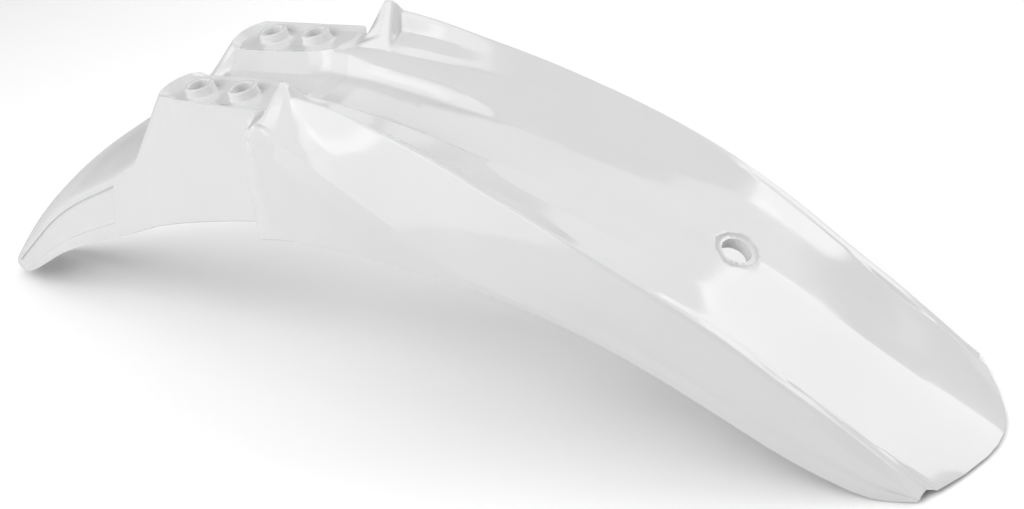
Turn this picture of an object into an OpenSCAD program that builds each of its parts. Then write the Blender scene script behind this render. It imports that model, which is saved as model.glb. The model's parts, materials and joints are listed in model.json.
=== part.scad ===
// Slim front fender of an off-road motorcycle, moulded in one piece from white plastic.
// X points forward, Y to one side and Z up. The origin lies on the centre plane, midway between
// the four mounting collars, at the height of their top faces. All sizes are in millimetres.

/* [Mounting pads] */
// Distance between the collars across the fender
bolt_across = 64; // [60:1:68]
// Distance between the collars along the fender
bolt_along = 31; // [27:0.1:36]
// Outer diameter of a collar
collar_d = 16; // [14:0.5:17]
// Height of a collar above its pad
collar_h = 5; // [3:0.5:7]
// Diameter of the bolt holes
bolt_d = 11; // [7:0.5:12]
// Distance from the middle of the bolts back to the rear edge of the pads
pad_rear = 42; // [38:1:46]
// Distance from the middle of the bolts forward to the front edge of the pads
pad_front = 31; // [28:1:33]
// Width over the two pads at their rear edge
pad_w = 91.5; // [88:0.5:94]
// How much wider the pads are at their front edge
pad_flare = 4.5; // [2:0.5:7]
// Height of the outer rim of a pad above the pad, at its rear edge
pad_rim = 3.5; // [2:0.5:5]
// Clear width of the valley between the pads
valley_w = 28; // [24:1:32]
// Depth of the valley below the pads
valley_depth = 11; // [7:1:15]

/* [Blade] */
// Distance from the middle of the bolts to the tips of the shoulders
shoulder_x = 59; // [57:1:62]
// Height of the shoulder tips above the collars
shoulder_h = 13; // [10:1:16]
// Length of the flat tip of each shoulder
tip_len = 5; // [3:0.5:8]
// Depth of the scoop behind each shoulder ridge
scoop_depth = 8; // [4:0.5:9]
// Length of the blade from the scoops to the middle of the nose
blade_len = 319; // [290:1:350]
// Width over the ridges at the scoops
shoulder_w = 99; // [95:1:103]
// Width over the ridges where the blade is widest
blade_w = 116; // [110:1:122]
// Width over the ridges at the nose
nose_w = 101; // [94:1:106]
// How far the corners of the nose lie behind its middle
nose_sweep = 23; // [14:1:28]
// Width over the skirts at the shoulders
skirt_w = 136; // [132:1:142]
// Height from the collars down to the lowest edge of the nose
nose_drop = 178; // [165:1:190]
// Height of the notch in the lower edge, where the skirt begins
notch_h = 10.5; // [6:0.5:14]
// Distance from the middle of the bolts to the notch
notch_x = 21.5; // [18:0.5:24]

/* [Tail] */
// Length of the tail behind the pad box
tail_len = 219; // [200:1:235]
// Height from the collars down to the tip of the tail
tail_drop = 171; // [160:1:180]
// Length of the slope from the pads down to the tail
rear_run = 39; // [34:1:44]
// Width of the tail at its tip
tail_tip_w = 40; // [36:1:48]
// Depth of the panel set into each side of the tail
panel_depth = 1.2; // [0.6:0.1:1.8]

/* [Front hole] */
// Distance from the middle of the bolts to the hole in the blade
hole_x = 266; // [255:1:275]
// Diameter of the sunken seat round the hole
seat_d = 21; // [20:0.5:23]
// Depth of the seat
seat_depth = 1.4; // [1:0.1:1.8]
// Diameter of the hole itself
hole_d = 15; // [12:0.5:16]
// Length of the sleeve that carries the hole, from the top of the blade
sleeve_len = 8; // [6:0.5:10]

/* [Wall] */
// Thickness of the moulded wall
wall_t = 2.6; // [2:0.1:3]

/* [Hidden] */
round_fn = 48;

// Levels and places that follow from the sizes above
pad_z = -collar_h;
valley_z = pad_z - valley_depth;
scoop_x = shoulder_x + tip_len + 2;
tail_x = -pad_rear - rear_run;
blade_drop = shoulder_h + nose_drop;
rim_z = pad_z + pad_rim;

// Height on the blade, in percent of the way from the shoulder tips down to the nose
function blade_z(p) = shoulder_h - blade_drop * p / 100;
// Height on the tail, in percent of the way from the collars down to its tip
function tail_z(p) = -tail_drop * p / 100;

// A point on a smooth line through stations [u, y, z], u in percent of the line's zone
function tangent(line, i) =
    let (a = line[max(i - 1, 0)], b = line[min(i + 1, len(line) - 1)])
    (b - a) / (b[0] - a[0]);
function segment_of(line, u, i = 0) =
    i >= len(line) - 2 || u < line[i + 1][0] ? i : segment_of(line, u, i + 1);
function along(line, u) =
    let (
        i = segment_of(line, u),
        h = line[i + 1][0] - line[i][0],
        t = (u - line[i][0]) / h,
        t2 = t * t,
        t3 = t2 * t
    )
    (2 * t3 - 3 * t2 + 1) * line[i] + (t3 - 2 * t2 + t) * h * tangent(line, i)
    + (3 * t2 - 2 * t3) * line[i + 1] + (t3 - t2) * h * tangent(line, i + 1);

// Character lines of one half of the blade, from the centre plane out to the lower edge
half_shoulder = shoulder_w / 2;
half_blade = blade_w / 2;
half_nose = nose_w / 2;
half_skirt = skirt_w / 2;
foot_y = valley_w / 2 + 1;

centre_line = [
    [0, 0, blade_z(18)], [14, 0, blade_z(23.6)], [24, 0, blade_z(28)], [32, 0, blade_z(32.4)],
    [42, 0, blade_z(38.4)], [50, 0, blade_z(43.6)], [58, 0, blade_z(49.3)], [66, 0, blade_z(57)],
    [74, 0, blade_z(67)], [82, 0, blade_z(77.6)], [90, 0, blade_z(87.5)], [100, 0, blade_z(98.8)]
];
channel_foot = [
    [0, foot_y, blade_z(18)], [14, foot_y, blade_z(23.6)], [24, foot_y, blade_z(28)],
    [32, foot_y + 1, blade_z(32.2)], [42, foot_y + 1, blade_z(38.3)], [50, foot_y + 1, blade_z(43.8)],
    [58, foot_y + 1, blade_z(49.6)], [66, foot_y + 1, blade_z(57.6)], [74, foot_y + 1, blade_z(67.8)],
    [82, foot_y + 1, blade_z(78.6)], [90, foot_y + 1, blade_z(88)], [100, foot_y + 1, blade_z(99)]
];
channel_edge = [
    [0, foot_y + 5, blade_z(13.8)], [14, foot_y + 5, blade_z(19.5)], [24, foot_y + 4, blade_z(27.2)],
    [32, foot_y + 14, blade_z(30.8)], [42, foot_y + 17, blade_z(37.2)], [50, foot_y + 18, blade_z(43.2)],
    [58, foot_y + 19, blade_z(49.6)], [66, foot_y + 19, blade_z(58.2)], [74, foot_y + 18, blade_z(68.8)],
    [82, foot_y + 17, blade_z(79.8)], [90, foot_y + 16, blade_z(88.3)], [100, foot_y + 16, blade_z(99)]
];
shelf_edge = [
    [0, half_shoulder - 19, blade_z(12)], [14, half_shoulder - 13.5, blade_z(17.5)],
    [24, half_shoulder - 10, blade_z(22.6)], [32, half_blade - 15, blade_z(27.4)],
    [42, half_blade - 10, blade_z(34.2)], [50, half_blade - 6.5, blade_z(40.6)],
    [58, half_blade - 6, blade_z(48.4)], [66, half_blade - 9, blade_z(57.9)],
    [74, half_blade - 10, blade_z(68.9)], [82, half_nose - 4, blade_z(80)],
    [90, half_nose - 5, blade_z(88.2)], [100, half_nose - 6, blade_z(98.6)]
];
ridge = [
    [0, half_shoulder, blade_z(3.7)], [7, half_shoulder - 0.5, blade_z(6.4)],
    [14, half_shoulder + 0.7, blade_z(10.8)], [24, half_shoulder + 3, blade_z(17.4)],
    [32, half_blade - 3, blade_z(23.8)], [42, half_blade - 1, blade_z(32.2)],
    [50, half_blade, blade_z(39.8)], [58, half_blade - 0.7, blade_z(48.2)],
    [66, half_blade - 3, blade_z(57.8)], [74, half_blade - 4.3, blade_z(68.8)],
    [82, half_nose + 2, blade_z(78.2)], [90, half_nose + 1, blade_z(87.3)], [100, half_nose, blade_z(97.8)]
];
face_foot = [
    [0, half_skirt - 5, blade_z(15.4)], [7, half_skirt - 1, blade_z(21)],
    [14, half_skirt, blade_z(29.3)], [24, half_skirt, blade_z(41)],
    [32, half_skirt - 0.5, blade_z(46.8)], [42, half_skirt - 3, blade_z(52.5)],
    [50, half_skirt - 5.2, blade_z(59)], [58, half_skirt - 7, blade_z(66.8)],
    [66, half_skirt - 8, blade_z(76)], [74, half_skirt - 9.3, blade_z(84.8)],
    [82, half_skirt - 11, blade_z(91)], [90, half_nose + 5, blade_z(96)], [100, half_nose + 1, blade_z(99)]
];
skirt_top = [
    [0, half_skirt - 3, blade_z(21.2)], [7, half_skirt, blade_z(27)],
    [14, half_skirt + 0.7, blade_z(34)], [24, half_skirt + 0.3, blade_z(43)],
    [32, half_skirt, blade_z(48.6)], [42, half_skirt - 2.5, blade_z(55)],
    [50, half_skirt - 4.7, blade_z(61.8)], [58, half_skirt - 6.2, blade_z(69.8)],
    [66, half_skirt - 7.5, blade_z(78.6)], [74, half_skirt - 9, blade_z(87.4)],
    [82, half_skirt - 10.5, blade_z(93.4)], [90, half_nose + 5.3, blade_z(97.8)],
    [100, half_nose + 1.2, blade_z(99.4)]
];
lower_edge = [
    [0, half_skirt - 1.5, blade_z(44)], [7, half_skirt, blade_z(44)],
    [14, half_skirt, blade_z(45.3)], [24, half_skirt, blade_z(48.4)],
    [32, half_skirt - 0.5, blade_z(51)], [42, half_skirt - 3, blade_z(57.6)],
    [50, half_skirt - 5, blade_z(64.4)], [58, half_skirt - 6.5, blade_z(72.5)],
    [66, half_skirt - 7.5, blade_z(81.2)], [74, half_skirt - 9, blade_z(90)],
    [82, half_skirt - 10.5, blade_z(96)], [90, half_nose + 5.5, blade_z(99.7)],
    [100, half_nose + 1.5, blade_z(100)]
];

// Half section of the blade, as [y, z, share of the nose's sweep]
rim_flat = 1.2;
rim_round = 4;
scoop_end = 16;
scoop_low = 0.2;
scoop_deep = 0.6;
face_bulge = 1.6;
function blade_half(u) =
    let (
        c = along(centre_line, u),
        f = along(channel_foot, u),
        e = along(channel_edge, u),
        s = along(shelf_edge, u),
        r = along(ridge, u),
        g = along(face_foot, u),
        k = along(skirt_top, u),
        l = along(lower_edge, u),
        round_share = min(max((u - 40) / 30, 0), 1),
        rim = rim_flat + (rim_round - rim_flat) * round_share,
        thin = min(1, (100 - u) / 20 + 0.35),
        inner = [r[1] - rim, r[2] - 0.1 * rim],
        outer = [r[1] + 0.6, r[2] - (0.8 + 1.4 * round_share) * thin],
        fade = max(0, 1 - u / scoop_end),
        cut = scoop_depth * fade,
        slope = inner - [s[1], s[2]],
        deep = scoop_deep + 0.12 * fade
    )
    [
        [0, c[2], 0],
        [f[1] / 2, (c[2] + f[2]) / 2, 0.03],
        [f[1], f[2], 0.13],
        [e[1], e[2], 0.43],
        [(e[1] + s[1]) / 2, (e[2] + s[2]) / 2 - 0.15, 0.61],
        [s[1], s[2], 0.78],
        [s[1] + scoop_low * slope[0], s[2] + scoop_low * slope[1], 0.84],
        [s[1] + deep * slope[0], s[2] + deep * slope[1] - 0.6 * cut, 0.9],
        [inner[0] - 0.1 * slope[0], inner[1] - 0.1 * slope[1], 0.94],
        [inner[0], inner[1], 0.96],
        [r[1] - 0.2 * rim, r[2], 0.99],
        [outer[0], outer[1], 1.01],
        for (t = [0.25, 0.5, 0.75])
            [outer[0] + (g[1] - outer[0]) * t + 4 * t * (1 - t) * face_bulge,
             outer[1] + (g[2] - outer[1]) * t, 1.01 + 0.04 * t],
        [g[1], g[2], 1.05],
        [k[1], k[2], 1.06],
        [(k[1] + l[1]) / 2, (k[2] + l[2]) / 2, 1.08],
        [l[1], l[2], 1.1]
    ];
function blade_section(u) =
    let (sweep = nose_sweep * pow(max(0, (u - 66) / 34), 2))
    [for (p = blade_half(u)) [scoop_x + blade_len * u / 100 - sweep * p[2], p[0], p[1]]];

// Points along a straight line from a to b
function between(a, b, shares) = [for (t = shares) a + (b - a) * t];

// Lower edge of the wall beside the pads
edge_notch_z = tail_z(37.9);
edge_fall = 0.14;
edge_bend = 1.15;
edge_flare = 0.16;
function edge_y(x) = half_skirt - 8.6 + 0.055 * x;
function edge_z(x) = edge_notch_z - edge_fall * (notch_x - x) - edge_bend * pow((notch_x - x) / pad_rear, 2);

// Plan of a pad: its outer rim, and its inner edge, which opens towards the blade
tray_w = 5;
rim_fall = 2.1;
pad_widening = 7.2;
lip = 1.2;
function pad_share(x) = (x + pad_rear) / (pad_front + pad_rear);
function rim_y(x) = pad_w / 2 + pad_flare / 2 * pad_share(x);
function rim_top(x) = rim_z - rim_fall * pad_share(x);
function pad_in_y(x) = valley_w / 2 + 1 + pad_widening * pow(max(0, x - 9) / pad_front, 2);
wall_shares = [0.025, 0.055, 0.085, 0.115, 0.19, 0.55, 1];

// Half section through a pad; low is the point of the lower edge that ends it
function pad_section(x, low) =
    let (r = rim_y(x), h = rim_top(x), q = pad_in_y(x), top = [x, r + 1.3, h - 2.5], tray = r - tray_w)
    [
        [x, 0, valley_z],
        [x, valley_w / 4, valley_z],
        [x, valley_w / 2 - 2, valley_z],
        [x, q, pad_z + lip],
        [x, q + 3, pad_z],
        [x, q + 3 + (tray - q - 3) * 0.4, pad_z],
        [x, q + 3 + (tray - q - 3) * 0.75, pad_z],
        [x, tray, pad_z],
        [x, r - 1.8, h - 0.5],
        [x, r - 0.6, h],
        [x, r + 0.6, h - 0.4],
        top,
        each between(top, low, wall_shares)
    ];
function wall_foot(x, drop = 0) = [x, edge_y(x) + edge_flare * drop, edge_z(x) - drop];

// Rear edge of a pad, rounded in plan, ahead of the rear slope; back is the distance behind the edge
rear_plan = [
    [4, valley_w / 4], [4, valley_w / 4], [4, valley_w / 2 - 2], [10.5, valley_w / 2 + 1.2],
    [5, valley_w / 2 + 4.2], [1.2, valley_w / 2 + 10], [0, valley_w / 2 + 17], [1, pad_w / 2 - 7.7],
    [3.6, pad_w / 2 - 3.3], [6.5, pad_w / 2 - 1.1], [9.5, pad_w / 2], [9.7, pad_w / 2 + 0.7]
];
function rear_section(fwd, top_z, low) =
    let (
        ys = [for (i = [0:11]) i == 0 ? 0 : i == 1 ? valley_w / 4 : rear_plan[i][1]],
        zs = [valley_z, valley_z, valley_z, top_z - 0.6, each [for (i = [4:10]) top_z], top_z - 1.6],
        shift = [for (i = [0:11]) i < 3 ? 0 : fwd],
        top = [-pad_rear + rear_plan[11][0] + fwd, ys[11], zs[11]]
    )
    [
        for (i = [0:11]) [-pad_rear + rear_plan[i][0] + shift[i] + (i < 3 ? fwd * 0.6 : 0), ys[i], zs[i]],
        each between(top, low, wall_shares)
    ];
// First row of the tray, behind which the lip rises
function tray_section(fwd) =
    let (row = rear_section(fwd, rim_z, wall_foot(-pad_rear + 4)))
    [for (i = [0:18]) i >= 4 && i <= 7 ? [row[i][0], row[i][1] - (i == 7 ? 1 : 0), pad_z] :
        i == 3 ? [row[i][0], row[i][1], pad_z + lip] :
        i == 8 ? [row[i][0], row[i][1] + 1.2, rim_z - 0.9] : row[i]];

// Middle of the slope behind the pads, and the line where the wall turns in towards the tail
function slope_section(share, low) =
    let (
        rear = rear_section(0, rim_z - 1.7, low),
        tail = tail_section(0),
        top = rear[11] + (tail[11] - rear[11]) * share
    )
    [
        for (i = [0:11]) rear[i] + (tail[i] - rear[i]) * share + [0, 0, i < 3 ? 2 * share * (1 - share) : 0],
        each between(top, low, [0.03, 0.07, 0.12, 0.17, 0.28, 0.6, 1])
    ];

// Front edge of a pad, which ends in the notch before the shoulder
notch_floor = [shoulder_x - 27.5, half_skirt - 14.5, pad_z - 7.3];
function front_section(x) =
    let (row = pad_section(x, wall_foot(x)), r = rim_y(x), corner = [x + 1.3, r + 1.3, rim_top(x) - 2])
    [
        for (i = [0:7]) row[i],
        for (i = [8:10]) row[i] + [1.3, 0, 0],
        corner,
        each between(corner, notch_floor, [0.3, 0.55, 0.78, 1]),
        [x - 5.3, half_skirt - 12.8, pad_z - 12.5],
        [x - 9.5, half_skirt - 9.7, pad_z - 40],
        [x - 12.5, half_skirt - 5.4, edge_notch_z - notch_h + 0.4]
    ];

// Foot of the slanted face behind the shoulder
function foot_section(x) =
    let (shelf = blade_half(0), tray = [x, rim_y(x) - 7, pad_z - 0.6])
    [
        [x, 0, (valley_z + shelf[0][1]) / 2],
        [x, shelf[1][0], (valley_z + shelf[1][1]) / 2],
        [x, shelf[2][0] - 0.5, (valley_z + shelf[2][1]) / 2],
        [x, pad_in_y(x) - 2, pad_z - 2.2],
        [x, pad_in_y(x) + 1.5, pad_z - 1.4],
        [x, shelf[5][0] - 2, pad_z - 1.2],
        [x, shelf[6][0] + 2, pad_z - 1],
        [x, shelf[7][0] - 1, pad_z - 0.8],
        tray,
        each between(tray, notch_floor, [0.16, 0.32, 0.48, 0.64, 0.8, 0.94]),
        notch_floor + [0.8, 0.4, -0.4],
        [shoulder_x - 23.4, half_skirt - 9, pad_z - 9.9],
        [shoulder_x - 24.3, half_skirt - 7, pad_z - 39],
        [shoulder_x - 24.8, half_skirt - 4.8, edge_notch_z - notch_h + 2]
    ];

// The tip of a shoulder: at is 0 on its rear edge, which slants down to the notch, and 1 at the scoop
function tip_section(at) =
    let (
        x = shoulder_x + tip_len * at,
        shelf = blade_half(0),
        rise = (scoop_x - x) * 0.2,
        s = [x, shelf[5][0], shelf[5][1] + rise],
        top = [x, half_shoulder - 5.4 + 0.8 * at, shoulder_h - 1.4 - at],
        peak = [x - 0.2, half_shoulder - 2.4 + 0.9 * at, shoulder_h - 1.1 - at],
        face = [shoulder_x - 18 + 15 * at, half_skirt - 11.2 + 3.7 * at, pad_z - 1.4 - 7.6 * at],
        skirt = [shoulder_x - 21.5 + 15 * at, half_skirt - 7.5 + 2 * at, pad_z - 9 - 9 * at],
        low_z = edge_notch_z - notch_h + 2.6 + 1.6 * at,
        low = [shoulder_x - 20.5 + 13 * at, half_skirt - 4.4 + 1.5 * at, low_z]
    )
    [
        for (i = [0:4]) [x, shelf[i][0], shelf[i][1] + rise],
        s,
        each between(s, top, [0.3, 0.66, 1]),
        [x, half_shoulder - 4.4 + 0.8 * at, shoulder_h - 0.1 - at],
        [x, half_shoulder - 3.3 + 0.9 * at, shoulder_h - at],
        peak,
        each between(peak, face, [0.25, 0.5, 0.75, 1]),
        skirt,
        (skirt + low) / 2,
        low
    ];

// Character lines of one half of the tail: centre, crease between top and side, lower edge
half_tip = tail_tip_w / 2;
tail_centre = [
    [0, 0, tail_z(19.4)], [15, 0, tail_z(28)], [37, 0, tail_z(41.8)], [58, 0, tail_z(57.5)],
    [77, 0, tail_z(73.6)], [90, 0, tail_z(86.5)], [100, 0, tail_z(97)]
];
tail_crease = [
    [0, half_tip + 26, tail_z(26.5)], [15, half_tip + 21, tail_z(36.3)], [37, half_tip + 12.5, tail_z(49.2)],
    [58, half_tip + 5.5, tail_z(63.7)], [77, half_tip + 1, tail_z(79.6)], [90, half_tip - 2.5, tail_z(90)],
    [100, half_tip - 6, tail_z(98)]
];
tail_edge = [
    [0, half_tip + 34.5, tail_z(50.3)], [15, half_tip + 27.5, tail_z(57.8)], [37, half_tip + 19, tail_z(69)],
    [58, half_tip + 13, tail_z(80.2)], [77, half_tip + 7, tail_z(92.3)], [90, half_tip + 2, tail_z(98.8)],
    [100, half_tip - 2.5, tail_z(100)]
];
tip_sweep = 6;
corner_lean = 33;
lean_end = 60;
function tail_section(u) =
    let (
        x = tail_x - tail_len * u / 100,
        lean = corner_lean * pow(max(0, 1 - u / lean_end), 2),
        c = along(tail_centre, u),
        r = along(tail_crease, u),
        l = along(tail_edge, u + 100 * lean / tail_len),
        crown = c[2] - r[2],
        sink = u > 14 && u < 95 ? panel_depth : 0,
        sweep = tip_sweep * (u < 50 ? 1 - u / 50 : pow(u / 50 - 1, 3))
    )
    [
        for (t = [0, 0.13, 0.27, 0.36, 0.46, 0.58, 0.7, 0.81, 0.9, 0.96])
            [x + sweep * t * t, r[1] * t, c[2] - crown * t * t],
        [x + sweep, r[1], r[2] - 0.3],
        [x + sweep, r[1] + 0.8, r[2] - 1.5],
        for (t = [0.12, 0.14, 0.3, 0.45, 0.74, 0.76, 1])
            let (in = t > 0.13 && t < 0.75)
            [x + sweep * (1 + t * pow(u / 100, 3)) - lean * t,
             r[1] + 0.8 + (l[1] - r[1] - 0.8) * t - (in ? sink : 0),
             r[2] - 1.5 + (l[2] - r[2] + 1.5) * t]
    ];

// All half sections from the tip of the tail to the nose
half_sections = [
    for (u = [100, 98.5, 96, 94.5, each [88:-8:16], 14.5, 13.5, 7, 0]) tail_section(u),
    slope_section(0.93, wall_foot(-pad_rear - 24)),
    slope_section(0.5, wall_foot(-pad_rear - 15)),
    rear_section(0, rim_z - 1.7, wall_foot(-pad_rear - 6)),
    rear_section(1.6, rim_z - 0.2, wall_foot(-pad_rear - 2)),
    tray_section(5.5),
    pad_section(-pad_rear + 20, wall_foot(-pad_rear + 18)),
    pad_section(0, wall_foot(0)),
    pad_section(notch_x - 0.5, wall_foot(notch_x - 0.5)),
    pad_section(notch_x + 0.5, wall_foot(notch_x + 0.5, notch_h)),
    pad_section(pad_front - 2, wall_foot(notch_x + 1.2, notch_h)),
    front_section(pad_front + 5),
    foot_section(shoulder_x - 15),
    tip_section(0),
    tip_section(1),
    for (u = [0, 1.5, each [4:4:16], 18, each [22:4:94], 98, 100]) blade_section(u)
];

// The outer skin runs from one lower edge over the top to the other
function mirrored(half) =
    let (last = len(half) - 1)
    [for (i = [-last:last]) [half[abs(i)][0], (i < 0 ? -1 : 1) * half[abs(i)][1], half[abs(i)][2]]];
outer_skin = [for (half = half_sections) mirrored(half)];
rows = len(outer_skin);
cols = len(outer_skin[0]);

// The inner skin lies one wall thickness inside, square to the outer skin
function unit(v) = v / norm(v);
function inward(i, j) =
    let (
        a = outer_skin[max(i - 1, 0)][j],
        b = outer_skin[min(i + 1, rows - 1)][j],
        c = outer_skin[i][max(j - 1, 0)],
        d = outer_skin[i][min(j + 1, cols - 1)]
    )
    unit(cross(d - c, b - a));
inner_skin = [for (i = [0:rows - 1]) [for (j = [0:cols - 1]) outer_skin[i][j] + wall_t * inward(i, j)]];

module shell() {
    count = rows * cols;
    function at(i, j) = i * cols + j;
    points = [for (row = outer_skin) each row, for (row = inner_skin) each row];
    skins = [
        for (i = [0:rows - 2], j = [0:cols - 2])
            let (a = at(i, j), b = at(i + 1, j), c = at(i + 1, j + 1), d = at(i, j + 1))
            each [[a, c, b], [a, d, c], [a + count, b + count, c + count], [a + count, c + count, d + count]]
    ];
    sides = [
        for (i = [0:rows - 2])
            let (a = at(i, 0), b = at(i + 1, 0), c = at(i, cols - 1), d = at(i + 1, cols - 1))
            each [[a, b, b + count], [a, b + count, a + count], [c, d + count, d], [c, c + count, d + count]],
        for (j = [0:cols - 2])
            let (a = at(0, j), b = at(0, j + 1), c = at(rows - 1, j), d = at(rows - 1, j + 1))
            each [[a, b + count, b], [a, a + count, b + count], [c, d, d + count], [c, d + count, c + count]]
    ];
    polyhedron(points = points, faces = concat(skins, sides), convexity = 8);
}

// Places of the four collars
collar_places = [for (x = [-1, 1], y = [-1, 1]) [x * bolt_along / 2, y * bolt_across / 2]];
module at_collars() {
    for (p = collar_places) translate([p[0], p[1], 0]) children();
}

// Turns a child so that its Z axis stands square on the blade at the front hole
hole_u = (hole_x - scoop_x) / blade_len * 100;
hole_z = along(centre_line, hole_u)[2];
hole_rise = (along(centre_line, hole_u + 1)[2] - along(centre_line, hole_u - 1)[2]) / (blade_len * 0.02);
hole_tilt = -atan(hole_rise);
module at_hole() {
    translate([hole_x, 0, hole_z]) rotate([0, hole_tilt, 0]) children();
}

module fender() {
    color([0.95, 0.95, 0.95])
    difference() {
        union() {
            shell();
            at_collars() translate([0, 0, pad_z - wall_t])
                cylinder(d = collar_d, h = collar_h + wall_t, $fn = round_fn);
            at_hole() translate([0, 0, -sleeve_len])
                cylinder(d = hole_d + 2 * wall_t, h = sleeve_len - seat_depth, $fn = round_fn);
        }
        at_collars() translate([0, 0, pad_z - wall_t - 5])
            cylinder(d = bolt_d, h = collar_h + wall_t + 10, $fn = round_fn);
        at_hole() translate([0, 0, -seat_depth])
            cylinder(d = seat_d, h = 10, $fn = round_fn);
        at_hole() translate([0, 0, -sleeve_len - 5])
            cylinder(d = hole_d, h = sleeve_len + 10, $fn = round_fn);
    }
}

fender();
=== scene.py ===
import json
from math import radians

import bmesh
import bpy
from mathutils import Matrix, Vector


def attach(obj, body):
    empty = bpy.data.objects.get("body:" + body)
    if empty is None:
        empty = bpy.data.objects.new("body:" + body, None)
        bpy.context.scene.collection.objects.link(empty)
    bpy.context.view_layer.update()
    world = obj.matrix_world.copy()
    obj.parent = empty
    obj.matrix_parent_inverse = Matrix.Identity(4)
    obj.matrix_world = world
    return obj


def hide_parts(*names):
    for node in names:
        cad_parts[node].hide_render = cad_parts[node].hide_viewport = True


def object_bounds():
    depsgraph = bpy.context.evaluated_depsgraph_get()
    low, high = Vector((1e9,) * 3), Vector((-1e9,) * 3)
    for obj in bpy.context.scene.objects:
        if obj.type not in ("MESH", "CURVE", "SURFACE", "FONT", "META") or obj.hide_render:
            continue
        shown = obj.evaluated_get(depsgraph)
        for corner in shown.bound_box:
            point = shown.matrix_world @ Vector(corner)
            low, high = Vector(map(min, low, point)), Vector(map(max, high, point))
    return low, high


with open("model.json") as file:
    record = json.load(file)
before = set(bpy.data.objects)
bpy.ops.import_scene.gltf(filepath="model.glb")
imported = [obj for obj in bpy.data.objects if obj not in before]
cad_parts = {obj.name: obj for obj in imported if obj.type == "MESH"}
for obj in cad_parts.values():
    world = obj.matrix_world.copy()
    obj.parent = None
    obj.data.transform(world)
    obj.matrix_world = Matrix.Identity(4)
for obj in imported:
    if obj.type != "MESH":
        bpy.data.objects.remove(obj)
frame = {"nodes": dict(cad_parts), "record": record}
cad_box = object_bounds()

# Camera of the photograph, in metres and degrees
CAMERA_PLACE = (0.4968, -0.4613, 0.2570)
CAMERA_AIM = (-0.5232, 0.6659, -0.5318)
CAMERA_ROLL = 14.82
CAMERA_LENS = 45.703
SENSOR_WIDTH = 36.0

# Mesh of the moulding, in metres and degrees
MM_PER_METRE = 1000
MERGE_DISTANCE = 2e-5
SMOOTHING_LEVELS = 2
QUAD_FOLD = 50
QUAD_SHAPE = 120
QUAD_ORDER = 1.5
SHARP_ANGLE = 32
ROUND_STEPS = 72

# Folds of the skin, by angle in degrees, and how much of each crease smoothing leaves
SOFT_CREASE_ANGLE = 5
CREASE_ANGLE = 9
RIM_ANGLE = 42
SOFT_CREASE = 0.5
CREASE = 0.95
RIM_CREASE = 0.8
CORNER_TURN = 32

# Flat side face of a shoulder, in metres: its span along X and Z, its inner edge at one X, that edge's
# slope, its outer edge, and how often and how far each of its points moves towards its neighbours
CHEEK_X = (0.042, 0.078)
CHEEK_Z = (-0.0125, 0.0085)
CHEEK_INNER = 0.049
CHEEK_INNER_X = 0.054
CHEEK_SLOPE = 0.12
CHEEK_OUTER = 0.0625
CHEEK_SMOOTHING = 6
CHEEK_SHARE = 0.5

# Space cleared round each collar and round the front hole, in metres: radius, lowest and highest point
COLLAR_SPACE = (0.0086, -0.012, 0.001)
HOLE_SPACE = (0.0118, -0.02, 0.012)

# Profiles of the collars and of the front hole, as radius and height in metres
BORE_CUT = [(0, -0.02), (0.0066, -0.02), (0.0066, 0.002), (0, 0.002)]
COLLAR_RING = [
    (0.0056, -0.00765), (0.0075, -0.00765), (0.0075, -0.0062), (0.0088, -0.0062), (0.0088, -0.00506),
    (0.0083, -0.0048), (0.008, -0.0043), (0.008, -0.0008), (0.0079, -0.0004), (0.0077, -0.0001),
    (0.0074, 0), (0.0062, 0), (0.0058, -0.00015), (0.0056, -0.00045), (0.0055, -0.0009),
    (0.0055, -0.0072), (0.0056, -0.00765),
]
SEAT_CUT = [(0, 0.0033), (0.0105, 0.0033), (0.0105, 0.012), (0, 0.012)]
SLEEVE_RING = [
    (0.0068, -0.0033), (0.0097, -0.0033), (0.0101, -0.003), (0.0101, 0.0023), (0.0068, 0.0023),
    (0.0068, -0.0033),
]
HOLE_CUT = [(0, -0.03), (0.0075, -0.03), (0.0075, 0.012), (0, 0.012)]

# White plastic: scales in waves per metre, and the height of the wave in metres
WHITE_DEEP = (0.805, 0.805, 0.812, 1)
WHITE_PALE = (0.835, 0.835, 0.84, 1)
PLASTIC_IOR = 1.49
GLOSS_SCALE = 45
GLOSS_DETAIL = 3
ROUGHNESS_LOW = 0.09
ROUGHNESS_HIGH = 0.15
WAVE_SCALE = 16
WAVE_DETAIL = 1
WAVE_STRENGTH = 0.1
WAVE_HEIGHT = 0.0006

# Floor, paler where the camera sees it than where it lights the fender
FLOOR_SIZE = 12.0
FLOOR_GAP = 0.0003
FLOOR_SEEN = (0.9, 0.9, 0.9, 1)
FLOOR_REFLECTED = (0.5, 0.5, 0.5, 1)
FLOOR_ROUGHNESS = 0.9

# Sockets of a Mix node that mixes colours
COLOR_A = 6
COLOR_B = 7
MIXED_COLOR = 2

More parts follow.
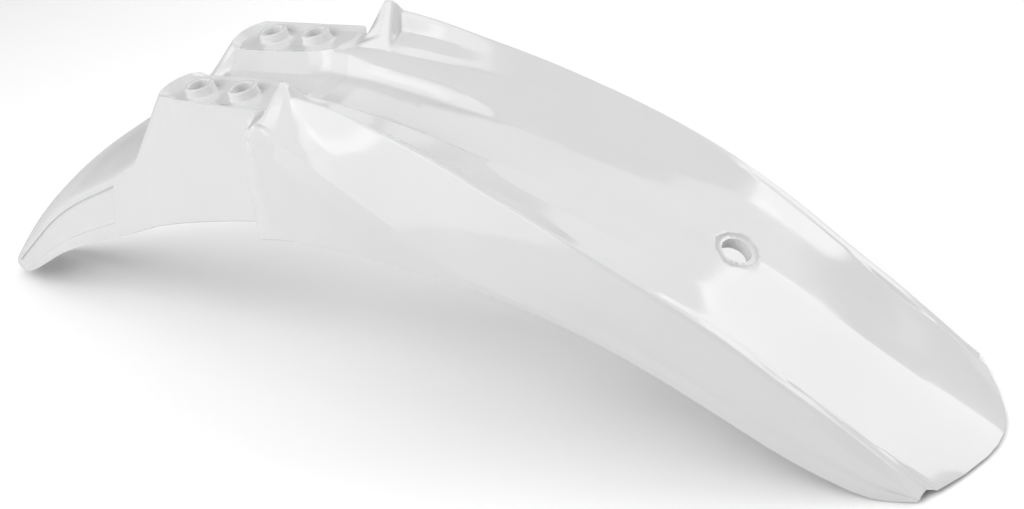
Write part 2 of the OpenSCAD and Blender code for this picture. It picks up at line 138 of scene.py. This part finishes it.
# Light: the dome, and each softbox with its place, target, width and height in metres and its watts
DOME_STRENGTH = 0.14
SOFTBOXES = {
    "near_box": ((-0.45, -1.42, 0.38), (0.12, -0.06, 0), 0.75, 1.05, 5),
    "near_high_box": ((-0.25, -1.1, 1.15), (0, 0, -0.1), 1.4, 1.1, 15),
    "front_box": ((1.3, 0.8, 0.68), (0.3, 0, -0.12), 1.25, 0.62, 9.8),
    "nose_box": ((1.15, -0.35, -0.05), (0.37, 0, -0.16), 0.5, 0.22, 0.6),
    "right_box": ((1.7, -0.5, 0.5), (0.1, 0, -0.1), 1.0, 0.9, 1.5),
    "far_box": ((0, 1.6, 0.8), (0, 0, -0.1), 2.2, 1.2, 10.5),
    "left_box": ((-1.7, -0.3, 0.7), (-0.1, 0, -0.1), 1.2, 1.2, 6),
    "top_box": ((0.1, 0, 1.5), (0.1, 0, 0), 1.6, 1.6, 1.8),
    "floor_box": ((0.1, 0, 1.52), (0.1, 0, 0), 1.6, 1.6, 13),
}


def new_object(name, mesh):
    """A new object at the origin, linked to the scene."""
    made = bpy.data.objects.new(name, mesh)
    bpy.context.scene.collection.objects.link(made)
    return made


def new_material(name):
    """A node material and its Principled BSDF."""
    made = bpy.data.materials.new(name)
    made.use_nodes = True
    shader = made.node_tree.nodes["Principled BSDF"]
    return made, made.node_tree, shader


def noise(tree, places, scale, detail):
    """A noise texture over the given places, as its output socket."""
    texture = tree.nodes.new("ShaderNodeTexNoise")
    texture.inputs["Scale"].default_value = scale
    texture.inputs["Detail"].default_value = detail
    tree.links.new(places, texture.inputs["Vector"])
    return texture.outputs[0]


def mixed_color(tree, share, first, second):
    """A colour between two, by a share, as its output socket."""
    mix = tree.nodes.new("ShaderNodeMix")
    mix.data_type = "RGBA"
    mix.inputs[COLOR_A].default_value = first
    mix.inputs[COLOR_B].default_value = second
    tree.links.new(share, mix.inputs["Factor"])
    return mix.outputs[MIXED_COLOR]


def white_plastic():
    """Glossy white polypropylene, with a faint waviness and fine differences in gloss and tint."""
    made, tree, shader = new_material("white_plastic")
    shader.inputs["IOR"].default_value = PLASTIC_IOR
    places = tree.nodes.new("ShaderNodeTexCoord").outputs["Object"]
    gloss = noise(tree, places, GLOSS_SCALE, GLOSS_DETAIL)
    roughness = tree.nodes.new("ShaderNodeMapRange")
    roughness.inputs["To Min"].default_value = ROUGHNESS_LOW
    roughness.inputs["To Max"].default_value = ROUGHNESS_HIGH
    tree.links.new(gloss, roughness.inputs["Value"])
    tree.links.new(roughness.outputs["Result"], shader.inputs["Roughness"])
    tree.links.new(mixed_color(tree, gloss, WHITE_DEEP, WHITE_PALE), shader.inputs["Base Color"])
    bump = tree.nodes.new("ShaderNodeBump")
    bump.inputs["Strength"].default_value = WAVE_STRENGTH
    bump.inputs["Distance"].default_value = WAVE_HEIGHT
    tree.links.new(noise(tree, places, WAVE_SCALE, WAVE_DETAIL), bump.inputs["Height"])
    tree.links.new(bump.outputs["Normal"], shader.inputs["Normal"])
    return made


def only_points(parts):
    """The points among mixed parts of a mesh."""
    return [part for part in parts if isinstance(part, bmesh.types.BMVert)]


def turned(name, profile, places):
    """Solids turned from one profile of radius and height, one at each place."""
    mesh = bpy.data.meshes.new(name)
    work = bmesh.new()
    points = [work.verts.new((radius, 0, height)) for radius, height in profile]
    edges = [work.edges.new(pair) for pair in zip(points, points[1:])]
    bmesh.ops.spin(work, geom=points + edges, cent=(0, 0, 0), axis=(0, 0, 1), angle=radians(360),
                   steps=ROUND_STEPS, use_merge=True)
    bmesh.ops.remove_doubles(work, verts=work.verts, dist=MERGE_DISTANCE)
    bmesh.ops.recalc_face_normals(work, faces=work.faces)
    single = list(work.verts) + list(work.edges) + list(work.faces)
    for place in places:
        copy = bmesh.ops.duplicate(work, geom=single)["geom"]
        bmesh.ops.transform(work, matrix=place, verts=only_points(copy))
    bmesh.ops.delete(work, geom=only_points(single), context="VERTS")
    work.to_mesh(mesh)
    work.free()
    return new_object(name, mesh)


def mount(name):
    """A mount of the record, by its name."""
    return next(entry for entry in frame["record"]["mounts"] if entry["name"] == name)


def collar_places():
    """Where the four collars stand."""
    dims = mount("collar_bolts")["dims"]
    along = dims["spacing_x_mm"] / (2 * MM_PER_METRE)
    across = dims["spacing_y_mm"] / (2 * MM_PER_METRE)
    return [Matrix.Translation((x, y, 0)) for x in (-along, along) for y in (-across, across)]


def hole_place():
    """Where the front hole lies, with its axis as Z."""
    hole = mount("front_hole")
    turn = Vector(hole["axis"]).to_track_quat("Z", "Y").to_matrix().to_4x4()
    return Matrix.Translation(hole["pos_m"]) @ turn


def points_round(work, place, space):
    """The points of the mesh within a radius of a place's Z axis, between two heights."""
    reach, low, high = space
    back = place.inverted()
    found = []
    for point in work.verts:
        local = back @ point.co
        if local.xy.length < reach and low < local.z < high:
            found.append(point)
    return found


def in_cheek(place):
    """Whether a point lies on the flat side face of a shoulder, between its edges."""
    x, y, z = place
    inner = CHEEK_INNER + (x - CHEEK_INNER_X) * CHEEK_SLOPE
    along = CHEEK_X[0] < x < CHEEK_X[1]
    return along and inner < abs(y) < CHEEK_OUTER and CHEEK_Z[0] < z < CHEEK_Z[1]


def cover_openings(work):
    """Close every opening of the skin with a fan, its middle on the crest that crosses it, if any."""
    covers = bmesh.ops.edgeloop_fill(work, edges=[edge for edge in work.edges if edge.is_boundary])["faces"]
    for cover in covers:
        rim = [point.co.copy() for point in cover.verts]
        crest = [place for place in rim if abs(place.y) < MERGE_DISTANCE]
        middle = bmesh.ops.poke(work, faces=[cover])["verts"][0]
        middle.co = sum(crest or rim, Vector()) / len(crest or rim)


def keep_corners(work, creases):
    """Hold the points where one creased line turns a corner, so that smoothing doesn't round them off."""
    corners = work.verts.layers.float.new("crease_vert")
    for point in work.verts:
        folds = [edge for edge in point.link_edges if edge[creases] > SOFT_CREASE]
        if len(folds) == 2:
            first, second = [edge.other_vert(point).co - point.co for edge in folds]
            if first.angle(second) < radians(180 - CORNER_TURN):
                point[corners] = 1


def crease_folds(work):
    """Mark the folds of the skin, so that smoothing keeps them, and return the layer of the creases."""
    creases = work.edges.layers.float.new("crease_edge")
    for edge in work.edges:
        fold = edge.calc_face_angle(0)
        if fold > radians(RIM_ANGLE):
            edge[creases] = RIM_CREASE
        elif fold > radians(CREASE_ANGLE):
            edge[creases] = CREASE
            edge.smooth = False
        elif fold > radians(SOFT_CREASE_ANGLE):
            edge[creases] = SOFT_CREASE
    return creases


def smooth_skin(mesh):
    """The moulding without its collars and holes, as a mesh that subdivides well."""
    work = bmesh.new()
    work.from_mesh(mesh)
    bmesh.ops.remove_doubles(work, verts=work.verts, dist=MERGE_DISTANCE)
    gone = points_round(work, hole_place(), HOLE_SPACE)
    for place in collar_places():
        gone += points_round(work, place, COLLAR_SPACE)
    bmesh.ops.delete(work, geom=gone, context="VERTS")
    bmesh.ops.delete(work, geom=[point for point in work.verts if not point.link_faces], context="VERTS")
    cover_openings(work)
    bmesh.ops.recalc_face_normals(work, faces=work.faces)
    bmesh.ops.join_triangles(work, faces=work.faces, angle_face_threshold=radians(QUAD_FOLD),
                             angle_shape_threshold=radians(QUAD_SHAPE), topology_influence=QUAD_ORDER)
    cheek = [point for point in work.verts if in_cheek(point.co)]
    for turn in range(CHEEK_SMOOTHING):
        bmesh.ops.smooth_vert(work, verts=cheek, factor=CHEEK_SHARE,
                              use_axis_x=True, use_axis_y=True, use_axis_z=True)
    keep_corners(work, crease_folds(work))
    for face in work.faces:
        face.smooth = True
    work.to_mesh(mesh)
    work.free()


def cut_and_join(shell, steps):
    """Give the shell its finished mesh, with each solid joined to it or cut out of it."""
    for tool, operation in steps:
        change = shell.modifiers.new(tool.name, "BOOLEAN")
        change.operation = operation
        change.solver = "EXACT"
        change.object = tool
    shell.data = bpy.data.meshes.new_from_object(shell.evaluated_get(bpy.context.evaluated_depsgraph_get()))
    shell.modifiers.clear()
    for tool, _ in steps:
        bpy.data.objects.remove(tool)


def moulded_shell():
    """The fender as one smooth moulding, from the solid's own surface."""
    mesh = frame["nodes"]["fender"].data.copy()
    smooth_skin(mesh)
    shell = new_object("fender_shell", mesh)
    rounding = shell.modifiers.new("rounding", "SUBSURF")
    rounding.levels = SMOOTHING_LEVELS
    rounding.render_levels = SMOOTHING_LEVELS
    cut_and_join(shell, [
        (turned("bolt_bores", BORE_CUT, collar_places()), "DIFFERENCE"),
        (turned("seat_bore", SEAT_CUT, [hole_place()]), "DIFFERENCE"),
        (turned("collars", COLLAR_RING, collar_places()), "UNION"),
        (turned("sleeve", SLEEVE_RING, [hole_place()]), "UNION"),
        (turned("hole", HOLE_CUT, [hole_place()]), "DIFFERENCE"),
    ])
    mesh = shell.data
    for face in mesh.polygons:
        face.use_smooth = True
    creases = [edge.use_edge_sharp for edge in mesh.edges]
    mesh.set_sharp_from_angle(angle=radians(SHARP_ANGLE))
    for edge, crease in zip(mesh.edges, creases):
        edge.use_edge_sharp = edge.use_edge_sharp or crease
    mesh.materials.clear()
    mesh.materials.append(white_plastic())
    return shell


def pale_floor():
    """A plain pale floor under the lowest point of the fender."""
    level = cad_box[0].z - FLOOR_GAP
    mesh = bpy.data.meshes.new("floor")
    work = bmesh.new()
    bmesh.ops.create_grid(work, x_segments=1, y_segments=1, size=FLOOR_SIZE / 2,
                          matrix=Matrix.Translation((0, 0, level)))
    work.to_mesh(mesh)
    work.free()
    made, tree, shader = new_material("pale_floor")
    shader.inputs["Roughness"].default_value = FLOOR_ROUGHNESS
    seen = tree.nodes.new("ShaderNodeLightPath").outputs["Is Camera Ray"]
    tree.links.new(mixed_color(tree, seen, FLOOR_REFLECTED, FLOOR_SEEN), shader.inputs["Base Color"])
    mesh.materials.append(made)
    floor = new_object("floor", mesh)


def softbox(name, place, target, width, height, power):
    """A rectangular light at place, turned to target."""
    light = bpy.data.lights.new(name, "AREA")
    light.shape = "RECTANGLE"
    light.size = width
    light.size_y = height
    light.energy = power
    made = new_object(name, light)
    made.location = place
    made.rotation_mode = "QUATERNION"
    made.rotation_quaternion = (Vector(target) - Vector(place)).to_track_quat("-Z", "Y")


def studio_light():
    """Softboxes round the fender, a dim dome, and one light from above that only the floor receives."""
    world = bpy.data.worlds.new("studio")
    world.use_nodes = True
    background = world.node_tree.nodes["Background"]
    background.inputs["Color"].default_value = (1, 1, 1, 1)
    background.inputs["Strength"].default_value = DOME_STRENGTH
    bpy.context.scene.world = world
    for name, (place, target, width, height, power) in SOFTBOXES.items():
        softbox(name, place, target, width, height, power)
    only_floor = bpy.data.collections.new("only_floor")
    only_floor.objects.link(bpy.data.objects["floor"])
    bpy.data.objects["floor_box"].light_linking.receiver_collection = only_floor


def photo_camera():
    """The camera at the photograph's viewing angle."""
    lens = bpy.data.cameras.new("camera")
    lens.lens = CAMERA_LENS
    lens.sensor_fit = "HORIZONTAL"
    lens.sensor_width = SENSOR_WIDTH
    camera = new_object("camera", lens)
    level = Vector(CAMERA_AIM).to_track_quat("-Z", "Y").to_matrix()
    turn = level @ Matrix.Rotation(radians(-CAMERA_ROLL), 3, "Z")
    camera.matrix_world = Matrix.Translation(CAMERA_PLACE) @ turn.to_4x4()
    bpy.context.scene.camera = camera


bpy.context.scene.view_settings.view_transform = "Standard"
photo_camera()
pale_floor()
studio_light()
shell = moulded_shell()
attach(shell, "root")
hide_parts("fender")
